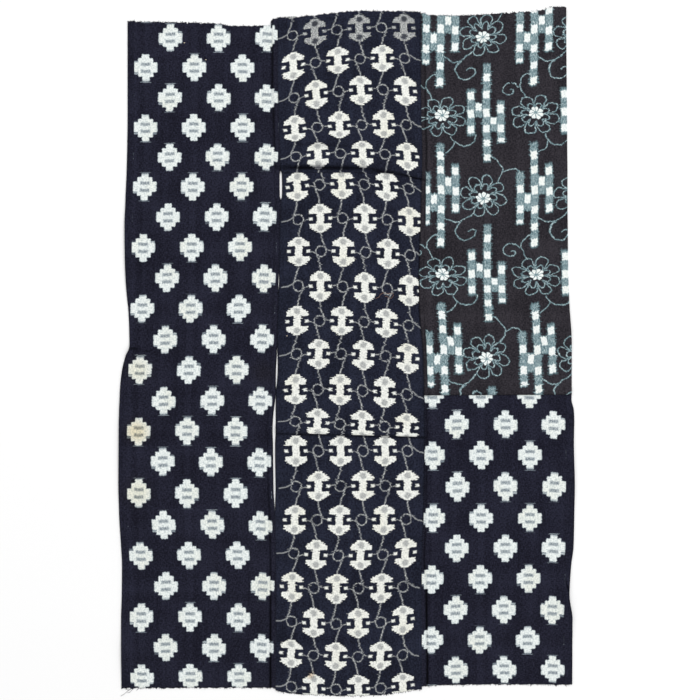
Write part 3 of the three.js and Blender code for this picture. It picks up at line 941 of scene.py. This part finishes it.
class Hem:
    """A turned-under long edge: its layers, and the seam and the crease on it."""

    def __init__(self, shades=None, grooves=None, slips=None):
        self.shades, self.grooves, self.slips = shades, grooves, slips

    def layer(self, inset, y):
        if self.grooves is None:
            return plain_layer(inset)
        return creased_layer(inset, smooth_through(self.grooves, 1, y))

    def shade(self, inset, y):
        # Painted shade of the seam and of the groove beside it, kept for the material.
        if self.shades is None or inset > HEM_END:
            return 0.0
        darkest = smooth_through(self.shades, 1, y) * swell(inset / SEAM_SHADE_TO)
        if self.grooves is not None:
            off_groove = abs(inset - smooth_through(self.grooves, 1, y) - GROOVE / 2)
            in_groove = smooth_through(self.shades, 2, y) * swell(off_groove / GROOVE_SHADE_TO)
            darkest = max(darkest, in_groove)
        return darkest

    def slip(self, inset, y):
        """How far the cloth between the crease and the edge has slipped up."""
        if self.slips is None or inset > smooth_through(self.grooves, 1, y) + GROOVE / 2:
            return 0.0
        return smooth_through(self.slips, 1, y)

    def columns(self):
        """Its columns of points, from its inner end round the edge: inset, run of cloth, layer.

        The columns on the right side have no layer yet, because it also depends on y.
        """
        under = [(inset, -inset, 0.0) for inset in (HEM, 8.0, 4.0, EDGE_RADIUS)]
        around = []
        for degrees in (-60, -30, 0, 30, 60):
            turn = math.radians(degrees)
            inset = EDGE_RADIUS * (1 - math.cos(turn))
            around.append((inset, EDGE_RADIUS * turn, 0.5 + 0.5 * math.sin(turn)))
        insets = [EDGE_RADIUS] + [1.2 + 0.6 * k for k in range(26)] + [17.4, 19.5]
        return under + around + [(inset, inset, None) for inset in insets]


HEM_END = 22.0  # where the even columns of a width begin


def ragged(x, seed):
    """How far a raw end strays from its line."""
    slow, quick = Vector((x / 9, seed, 0.0)), Vector((x / 3.1, seed, 5.0))
    return 2.6 * noise.noise(slow) + 2.6 * noise.noise(quick)


def cloth_length(name, material, slot, grain, row_pitch, left, right, left_hem, right_hem,
                 bottom, top, laps_over=False, raw_bottom=None, raw_top=None):
    """One cut length as a piece. left and right are functions of y, bottom and top of x."""
    from_left = left_hem.columns()
    from_right = right_hem.columns()
    width = right(0) - left(0)
    even = round((width - 2 * HEM_END) / STEP)
    middle_x = (left(0) + right(0)) / 2
    rows = min(round((top(middle_x) - bottom(middle_x)) / STEP), MOST_ROWS)
    columns = len(from_left) + even + 1 + len(from_right)

    def station(column, y):
        """x, the cloth's own x, the height in layers, the nearer hem and the distance from it."""
        if column < len(from_left):
            inset, run, layer = from_left[column]
            layer = left_hem.layer(inset, y) if layer is None else layer
            return left(y) + inset, left(y) + run, layer, left_hem, inset
        back = columns - 1 - column
        if back < len(from_right):
            inset, run, layer = from_right[back]
            layer = right_hem.layer(inset, y) if layer is None else layer
            return right(y) - inset, right(y) - run, layer, right_hem, inset
        share = (column - len(from_left)) / even
        x = left(y) + HEM_END + share * (right(y) - left(y) - 2 * HEM_END)
        hem, inset = (left_hem, x - left(y)) if share < 0.5 else (right_hem, right(y) - x)
        return x, x, hem.layer(inset, y), hem, inset

    mesh = bmesh.new()
    bmesh.ops.create_grid(mesh, x_segments=columns - 1, y_segments=rows, size=0.5)
    crease = mesh.verts.layers.float.new("crease")
    groove = mesh.verts.layers.float.new("groove")
    cloth = mesh.loops.layers.uv.new("cloth")
    woven = {}
    for point in mesh.verts:
        column = round((point.co.x + 0.5) * (columns - 1))
        share = point.co.y + 0.5
        guess = bottom(middle_x) + share * (top(middle_x) - bottom(middle_x))
        x = station(column, guess)[0]
        low = bottom(x) + (0 if raw_bottom is None else ragged(x, raw_bottom))
        high = top(x) + (0 if raw_top is None else ragged(x, raw_top))
        y = low + share * (high - low)
        x, cloth_x, layer, hem, inset = station(column, y)
        trough, shade = crease_at(x, y)
        over_hem = 1 - min(max((inset - HEM) / (HEM_FOOT - HEM), 0.0), 1.0)
        lap = 0.0
        if laps_over:
            lap = (1 + over_hem) * swell(max(y - bottom(x) - LAP, 0.0) / LAP_SLOPE)
        height = (layer + lap) * LAYER + fold_height(x, y)
        z = LAYER_FOOT + max(height - trough, 0.0)
        point.co = Vector((x, y, z)) * MM
        on_top = column >= 4 and columns - 1 - column >= 4
        # The crease and groove attributes hold painted shade, which the material darkens the colour
        # with.
        point[crease] = shade if on_top else 0.0
        point[groove] = hem.shade(inset, y) if on_top else 0.0
        cloth_y = y - hem.slip(inset, y)
        woven[point] = tuple(part * MM for part in cloth_place(grain, row_pitch, cloth_x, cloth_y))
    for face in mesh.faces:
        face.smooth = True
        for corner in face.loops:
            corner[cloth].uv = woven[corner.vert]
    data = bpy.data.meshes.new(name)
    mesh.to_mesh(data)
    mesh.free()
    data.materials.append(material)
    piece = bpy.data.objects.new(name, data)
    bpy.context.collection.objects.link(piece)
    thick = piece.modifiers.new("thickness", "SOLIDIFY")
    thick.thickness = CLOTH * MM
    thick.offset = 0.0
    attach(piece, "root")
    print(name, "has", columns, "columns and", rows, "rows")
    return piece


# %% The six lengths
left_edge = lambda y: smooth_through(SECTIONS, LEFT_EDGE, y)
right_edge = lambda y: smooth_through(SECTIONS, RIGHT_EDGE, y)
right_seam = lambda y: smooth_through(SECTIONS, RIGHT_SEAM, y)
left_of_seam = lambda y: smooth_through(SECTIONS, LEFT_SEAM, y) - half_slit(y)
right_of_seam = lambda y: smooth_through(SECTIONS, LEFT_SEAM, y) + half_slit(y)
LEFT_WIDTH = {
    "left": left_edge, "right": left_of_seam,
    "left_hem": Hem(), "right_hem": Hem(LEFT_SHADES, LEFT_GROOVES, SLIP),
}
MIDDLE_WIDTH = {
    "left": right_of_seam, "right": right_seam,
    "left_hem": Hem(LEFT_SHADES), "right_hem": Hem(RIGHT_SHADES),
}
RIGHT_WIDTH = {"left": right_seam, "right": right_edge, "right_hem": Hem()}
LOZENGES_LEFT = (LOZENGE_CLOTH, "lozenge_cloth", LOZENGE_GRAIN_LEFT, LOZENGE_ROW)
LOZENGES_RIGHT = (LOZENGE_CLOTH, "lozenge_cloth", LOZENGE_GRAIN_RIGHT, LOZENGE_ROW)
SPOOLS = (SPOOL_CLOTH, "spool_cloth")
FLOWERS = (FLOWER_CLOTH, "flower_cloth", FLOWER_GRAIN, FLOWER_ROW)
TONGUE = LAP - AIR

lengths = {
    "left_length": cloth_length(
        "left_width_cloth", *LOZENGES_LEFT, **LEFT_WIDTH,
        bottom=end_line(LEFT_BOTTOM), top=end_line(LEFT_TOP), raw_bottom=1, raw_top=2,
    ),
    "middle_upper_length": cloth_length(
        "middle_upper_cloth", *SPOOLS, SPOOL_GRAIN_UPPER, SPOOL_ROW, **MIDDLE_WIDTH,
        bottom=end_line(UPPER_MIDDLE_SEAM), top=end_line(MIDDLE_TOP), laps_over=True, raw_top=3,
    ),
    "middle_centre_length": cloth_length(
        "middle_centre_cloth", *SPOOLS, SPOOL_GRAIN_CENTRE, SPOOL_ROW, **MIDDLE_WIDTH,
        bottom=end_line(LOWER_MIDDLE_SEAM), top=end_line(UPPER_MIDDLE_SEAM, TONGUE), laps_over=True,
    ),
    "middle_lower_length": cloth_length(
        "middle_lower_cloth", *SPOOLS, SPOOL_GRAIN_LOWER, SPOOL_ROW, **MIDDLE_WIDTH,
        bottom=end_line(MIDDLE_BOTTOM), top=end_line(LOWER_MIDDLE_SEAM, TONGUE), raw_bottom=4,
    ),
    "right_upper_length": cloth_length(
        "right_upper_cloth", *FLOWERS, **RIGHT_WIDTH,
        left_hem=Hem(RIGHT_SHADES, RIGHT_UPPER_GROOVES),
        bottom=end_line(RIGHT_CROSS_SEAM), top=end_line(RIGHT_TOP), laps_over=True, raw_top=5,
    ),
    "right_lower_length": cloth_length(
        "right_lower_cloth", *LOZENGES_RIGHT, **RIGHT_WIDTH,
        left_hem=Hem(RIGHT_SHADES, RIGHT_LOWER_GROOVES),
        bottom=end_line(RIGHT_BOTTOM), top=end_line(RIGHT_CROSS_SEAM, TONGUE), raw_bottom=6,
    ),
}
for node, piece in lengths.items():
    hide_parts(node)

# %% [markdown]
# ## How each length was cut
# A length's flat width is its finished width and two hems, and its flat length includes what
# lies in a lap.

# %% [markdown]
# ## Yarns and sewing thread
# Fine yarns are curves with a round section: a few points each, and a whole edge is one piece.
# Hair would do for loose fibres, but it isn't exported as a mesh.

# %% Yarns as curves
def yarn_material(name, colour, lighter):
    """Twisted cotton: a colour that changes along the yarns, matt."""
    material = bpy.data.materials.new(name)
    material.use_nodes = True
    tree = material.node_tree
    shader = tree.nodes["Principled BSDF"]
    spot = tree.nodes.new("ShaderNodeTexCoord")
    patches = tree.nodes.new("ShaderNodeTexNoise")
    patches.inputs["Scale"].default_value = 700.0
    tree.links.new(spot.outputs["Object"], patches.inputs["Vector"])
    mixed = mix_colours(tree, Field(patches.outputs[0]), colour, lighter)
    tree.links.new(mixed, shader.inputs["Base Color"])
    shader.inputs["Roughness"].default_value = 0.95
    shader.inputs["Specular IOR Level"].default_value = 0.1
    shader.inputs["Sheen Weight"].default_value = 0.1
    return material


def yarns_along(name, paths, radius, material):
    """All the yarns of one edge or seam as one curve. A path is a list of points in millimetres."""
    curve = bpy.data.curves.new(name, "CURVE")
    curve.dimensions = "3D"
    curve.bevel_depth = radius * MM
    curve.bevel_resolution = 0
    curve.use_fill_caps = True
    curve.materials.append(material)
    for path in paths:
        spline = curve.splines.new("POLY")
        spline.points.add(len(path) - 1)
        for point, place in zip(spline.points, path):
            point.co = (*(part * MM for part in place), 1.0)
    piece = bpy.data.objects.new(name, curve)
    bpy.context.collection.objects.link(piece)
    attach(piece, "root")
    print(name, "has", len(paths), "yarns")
    return piece


INDIGO_YARN = yarn_material("indigo_yarn", to_linear(20, 22, 36), to_linear(44, 48, 66))
UNDYED_YARN = yarn_material("undyed_yarn", to_linear(236, 238, 234), to_linear(206, 210, 212))
BROWN_YARN = yarn_material("brown_yarn", to_linear(176, 132, 104), to_linear(120, 88, 72))
PALE_LINT = yarn_material("pale_lint", to_linear(255, 250, 232), to_linear(236, 206, 168))

# %% [markdown]
# ## Seams
# The widths meet edge to edge, and a dark thread goes over and over from one hem to the other.
# Along the left seam it has given way in four places, so those slits have no stitches.

# %% Stitches over the long seams
STITCH_STEP, STITCH_REACH, STITCH_SLANT, STITCH_RADIUS = 4.6, 1.9, 1.2, 0.2
OPEN_SLIT = 2.0  # a slit that is wider than this has lost its stitches
SEAM_TOP = LAYER_FOOT + LAYER + CLOTH / 2


def seam_stitches(seam_x, half_gap, low, high, chance):
    """Slanted stitches over a long seam, between two heights of the picture."""
    paths = []
    y = low
    while y < high:
        y += STITCH_STEP * chance.uniform(0.85, 1.15)
        if 2 * half_gap(y) > OPEN_SLIT:
            continue
        x = seam_x(y)
        reach = STITCH_REACH + max(half_gap(y), 0.0)
        top = SEAM_TOP + fold_height(x, y) + 0.6 * STITCH_RADIUS
        paths.append([
            (x - reach, y - STITCH_SLANT, top - 0.5),
            (x - 0.6 * reach, y - 0.6 * STITCH_SLANT, top),
            (x + 0.6 * reach, y + 0.6 * STITCH_SLANT, top),
            (x + reach, y + STITCH_SLANT, top - 0.5),
        ])
    return paths


stitch_chance = random.Random(3)
left_seam = lambda y: smooth_through(SECTIONS, LEFT_SEAM, y)
yarns_along(
    "left_seam_thread", seam_stitches(left_seam, half_slit, -712, 688, stitch_chance),
    STITCH_RADIUS, INDIGO_YARN,
)
yarns_along(
    "right_seam_thread", seam_stitches(right_seam, lambda y: 0.0, -708, 714, stitch_chance),
    STITCH_RADIUS, INDIGO_YARN,
)

# %% [markdown]
# ## Raw ends
# The ends of the widths are cut and not hemmed, so the last wefts have slipped off and the warps
# stand out a little, bent by chance. Where the warps are undyed they are pale.

# %% Frayed ends
FRAY_STEP, FRAY_RADIUS = 3.0, 0.42
PALE_SHARE = 0.05


def frayed_end(line, seed, outward, start, stop, chance):
    """The short yarns along one raw end: paths of dark yarns and of pale ones."""
    dark, pale = [], []
    x = start
    while x < stop:
        x += FRAY_STEP * chance.uniform(0.4, 1.6)
        reach = chance.choice((0.5, 0.7, 0.9, 1.2, 1.6, 2.4)) * chance.uniform(0.7, 1.2)
        lean = chance.uniform(-0.9, 0.9) * reach
        curl = chance.uniform(-0.6, 0.6)
        y = line(x) + ragged(x, seed)
        lift = fold_height(x, y)
        path = [
            (x, y - outward * 1.0, LAYER_FOOT + lift + 0.3),
            (x + 0.3 * lean, y + outward * 0.45 * reach, LAYER_FOOT + 0.8 * lift + 0.1),
            (x + lean + curl, y + outward * reach, max(FRAY_RADIUS, LAYER_FOOT + 0.5 * lift - 0.2)),
        ]
        (pale if chance.random() < PALE_SHARE else dark).append(path)
    return dark, pale


RAW_ENDS = [
    # name, line, seed of its raggedness, direction outward, start, stop, slot
    ("left_top_fray", LEFT_TOP, 2, 1, -464, -150, "lozenge_cloth"),
    ("left_bottom_fray", LEFT_BOTTOM, 1, -1, -477, -153, "lozenge_cloth"),
    ("middle_top_fray", MIDDLE_TOP, 3, 1, -145, 155, "spool_cloth"),
    ("middle_bottom_fray", MIDDLE_BOTTOM, 4, -1, -149, 158, "spool_cloth"),
    ("right_top_fray", RIGHT_TOP, 5, 1, 159, 465, "flower_cloth"),
    ("right_bottom_fray", RIGHT_BOTTOM, 6, -1, 162, 477, "lozenge_cloth"),
]
fray_chance = random.Random(11)
for name, points, seed, outward, start, stop, slot in RAW_ENDS:
    dark, pale = frayed_end(end_line(points), seed, outward, start, stop, fray_chance)
    yarns_along(name, dark, FRAY_RADIUS, INDIGO_YARN)
    yarns_along(name + "_pale", pale, FRAY_RADIUS, UNDYED_YARN)

# %% Loose threads
CORNER_YARNS = [
    [(-452, -712, 1.2), (-458, -718, 0.5), (-466, -723, 0.3), (-474, -730, 0.3), (-481, -734, 0.3)],
    [(-455, -713, 1.2), (-459, -719, 0.5), (-464, -721, 0.4), (-470, -720, 0.3)],
    [(-449, -713, 1.2), (-455, -719, 0.5), (-462, -726, 0.3), (-467, -727, 0.3)],
    [(-441, -713, 1.0), (-444, -719, 0.4), (-448, -722, 0.3)],
]
BROWN_THREAD = [
    (62.6, 112.8), (69.0, 116.0), (72.2, 121.3), (77.5, 124.9), (83.9, 123.4), (92.4, 123.7),
    (98.2, 124.0), (99.6, 118.6), (94.8, 112.8), (90.5, 113.6), (85.5, 117.0), (81.8, 117.5),
]
LINT = [(-345.4, 657.0), (-299.6, 620.8), (-127.0, 32.8), (-162.0, 98.0)]


def surface(x, y, hem_layers=0.0):
    """Height of the cloth's upper side at a point away from the hems."""
    return LAYER_FOOT + CLOTH / 2 + fold_height(x, y) + hem_layers * LAYER


yarns_along("corner_yarns", CORNER_YARNS, 0.3, INDIGO_YARN)
brown_path = [(x, y, surface(x, y) + 0.25) for x, y in BROWN_THREAD]
yarns_along("brown_thread", [brown_path], 0.32, BROWN_YARN)
lint_paths = []
for x, y in LINT:
    z = surface(x, y) + 0.5
    lint_paths.append([(x - 1.2, y, z), (x - 0.2, y + 0.7, z + 0.1), (x + 1.2, y - 0.3, z)])
yarns_along("lint", lint_paths, 0.6, PALE_LINT)

# %% [markdown]
# ## Floor and light
# The photo has a pure white ground and no shadow to speak of. A pale floor under an even sky and
# one wide, soft lamp from the upper left gives that, and still shows the folds.

# %% Pale floor
FLOOR_SIZE = 8000.0
floor_mesh = bmesh.new()
bmesh.ops.create_grid(floor_mesh, x_segments=1, y_segments=1, size=FLOOR_SIZE / 2 * MM)
floor_data = bpy.data.meshes.new("floor")
floor_mesh.to_mesh(floor_data)
floor_mesh.free()
floor = bpy.data.objects.new("floor", floor_data)
floor.location.z = -0.3 * MM
bpy.context.collection.objects.link(floor)
floor_material = bpy.data.materials.new("pale_floor")
floor_material.use_nodes = True
floor_shader = floor_material.node_tree.nodes["Principled BSDF"]
floor_shader.inputs["Base Color"].default_value = (0.98, 0.98, 0.98, 1.0)
floor_shader.inputs["Roughness"].default_value = 0.8
floor_shader.inputs["Specular IOR Level"].default_value = 0.1
floor_data.materials.append(floor_material)

# %% Soft light
SKY_STRENGTH = 0.84
LAMP_PLACE, LAMP_AIM = Vector((2.6, 3.4, 4.4)), Vector((0.0, 0.0, 0.0))
LAMP_SIZE, LAMP_POWER = 2.8, 125.0

world = bpy.data.worlds.new("studio")
world.use_nodes = True
sky = world.node_tree.nodes["Background"]
sky.inputs["Color"].default_value = (1.0, 1.0, 1.0, 1.0)
sky.inputs["Strength"].default_value = SKY_STRENGTH
bpy.context.scene.world = world
lamp_data = bpy.data.lights.new("softbox", "AREA")
lamp_data.size = LAMP_SIZE
lamp_data.energy = LAMP_POWER
lamp = bpy.data.objects.new("softbox", lamp_data)
lamp.location = LAMP_PLACE
lamp.rotation_euler = (LAMP_AIM - LAMP_PLACE).to_track_quat("-Z", "Y").to_euler()
bpy.context.collection.objects.link(lamp)
bpy.context.scene.view_settings.view_transform = "Standard"
